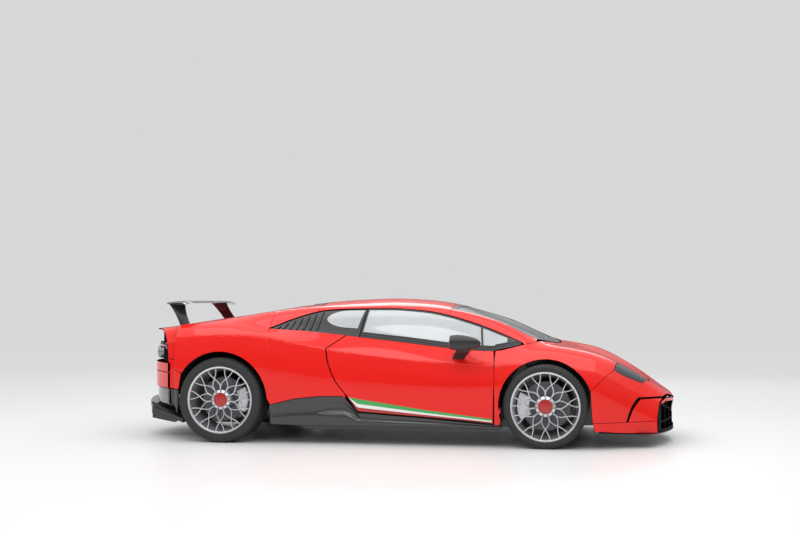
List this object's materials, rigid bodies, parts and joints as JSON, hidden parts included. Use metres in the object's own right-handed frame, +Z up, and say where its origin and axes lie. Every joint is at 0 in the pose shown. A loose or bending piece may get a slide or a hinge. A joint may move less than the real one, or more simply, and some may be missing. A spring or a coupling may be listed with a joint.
{
  "type": "two-seat mid-engined supercar",
  "caption": "Low wedge-shaped two-seat sports car with side doors, a front lid, an engine cover, a rear wing, steered front wheels and road wheels that turn.",
  "frame": {"origin": "on the ground under the middle of the car's bounding box", "axes": "+X towards the nose, +Y towards the car's left side, +Z up"},
  "size_m": [4.505, 2.219, 1.1673],
  "materials": {
    "tub_carbon": "satin",
    "black_carbon": "satin carbon",
    "red_paint": "gloss solid red",
    "black_grille": "matte",
    "window_glass": "clear tinted",
    "lamp_glass": "clear",
    "tail_lamp_red": "clear red",
    "engine_metal": "cast",
    "exhaust_metal": "brushed",
    "seat_cloth": "suede cloth",
    "cabin_trim": "matte leather",
    "chassis_metal": "cast",
    "liner_plastic": "matte",
    "tyre_rubber": "matte",
    "rim_silver": "satin silver",
    "disc_iron": "machined"
  },
  "bodies": {
    "body": {"body_tub": "tub_carbon", "side_skirts": "black_carbon", "front_splitter": "black_carbon", "rear_diffuser": "black_carbon", "rear_wing": "black_carbon", "front_bumper": "red_paint", "front_fenders": "red_paint", "rear_quarters": "red_paint", "roof": "red_paint", "rear_deck": "red_paint", "rear_bumper": "red_paint", "grilles": "black_grille", "windscreen": "window_glass", "quarter_glass": "window_glass", "headlights": "lamp_glass", "tail_lights": "tail_lamp_red", "engine": "engine_metal", "exhaust": "exhaust_metal", "seats": "seat_cloth", "dashboard": "cabin_trim", "suspension": "chassis_metal", "wheel_liners": "liner_plastic"},
    "knuckle_front_left": {"front_knuckle_left": "chassis_metal"},
    "wheel_front_left": {"tyre_front_left": "tyre_rubber", "rim_front_left": "rim_silver", "brake_disc_front_left": "disc_iron"},
    "wheel_rear_left": {"tyre_rear_left": "tyre_rubber", "rim_rear_left": "rim_silver", "brake_disc_rear_left": "disc_iron"},
    "door_left": {"door_left": "red_paint", "door_glass_left": "window_glass", "mirror_left": "black_carbon"},
    "knuckle_front_right": {"front_knuckle_right": "chassis_metal"},
    "wheel_front_right": {"tyre_front_right": "tyre_rubber", "rim_front_right": "rim_silver", "brake_disc_front_right": "disc_iron"},
    "wheel_rear_right": {"tyre_rear_right": "tyre_rubber", "rim_rear_right": "rim_silver", "brake_disc_rear_right": "disc_iron"},
    "door_right": {"door_right": "red_paint", "door_glass_right": "window_glass", "mirror_right": "black_carbon"},
    "front_lid": {"front_lid": "red_paint"},
    "engine_cover": {"engine_cover": "black_carbon"},
    "steering_wheel": {"steering_wheel": "cabin_trim"}
  },
  "joints": [
    {"name": "steer_left", "type": "hinge", "parent": "body", "child": "knuckle_front_left", "pos_m": [1.243, 0.7845, 0.3275], "axis": [0, 0, 1], "range_deg": [-30, 30]},
    {"name": "steer_right", "type": "hinge", "parent": "body", "child": "knuckle_front_right", "pos_m": [1.243, -0.7845, 0.3275], "axis": [0, 0, 1], "range_deg": [-30, 30]},
    {"name": "spin_front_left", "type": "hinge", "parent": "knuckle_front_left", "child": "wheel_front_left", "pos_m": [1.243, 0.8335, 0.3275], "axis": [0, 1, 0], "continuous": true},
    {"name": "spin_rear_left", "type": "hinge", "parent": "body", "child": "wheel_rear_left", "pos_m": [-1.377, 0.8035, 0.3455], "axis": [0, 1, 0], "continuous": true},
    {"name": "spin_front_right", "type": "hinge", "parent": "knuckle_front_right", "child": "wheel_front_right", "pos_m": [1.243, -0.8335, 0.3275], "axis": [0, 1, 0], "continuous": true},
    {"name": "spin_rear_right", "type": "hinge", "parent": "body", "child": "wheel_rear_right", "pos_m": [-1.377, -0.8035, 0.3455], "axis": [0, 1, 0], "continuous": true},
    {"name": "steering_column", "type": "hinge", "parent": "body", "child": "steering_wheel", "pos_m": [0.333, 0.372, 0.7], "axis": [-0.9135, 0, 0.4067], "range_deg": [-420, 420]},
    {"name": "door_hinge_left", "type": "hinge", "parent": "body", "child": "door_left", "pos_m": [0.839, 0.936, 0.45], "axis": [0, 0, -1], "range_deg": [0, 60]},
    {"name": "door_hinge_right", "type": "hinge", "parent": "body", "child": "door_right", "pos_m": [0.839, -0.936, 0.45], "axis": [0, 0, 1], "range_deg": [0, 60]},
    {"name": "front_lid_hinge", "type": "hinge", "parent": "body", "child": "front_lid", "pos_m": [1.169, 0, 0.828], "axis": [0, -1, 0], "range_deg": [0, 50]},
    {"name": "engine_cover_hinge", "type": "hinge", "parent": "body", "child": "engine_cover", "pos_m": [-0.627, 0, 1.14], "axis": [0, 1, 0], "range_deg": [0, 45]}
  ],
  "couplings": [
    {"joint": "steer_right", "follows": "steer_left", "ratio": 1},
    {"joint": "steering_column", "follows": "steer_left", "ratio": 14}
  ]
}
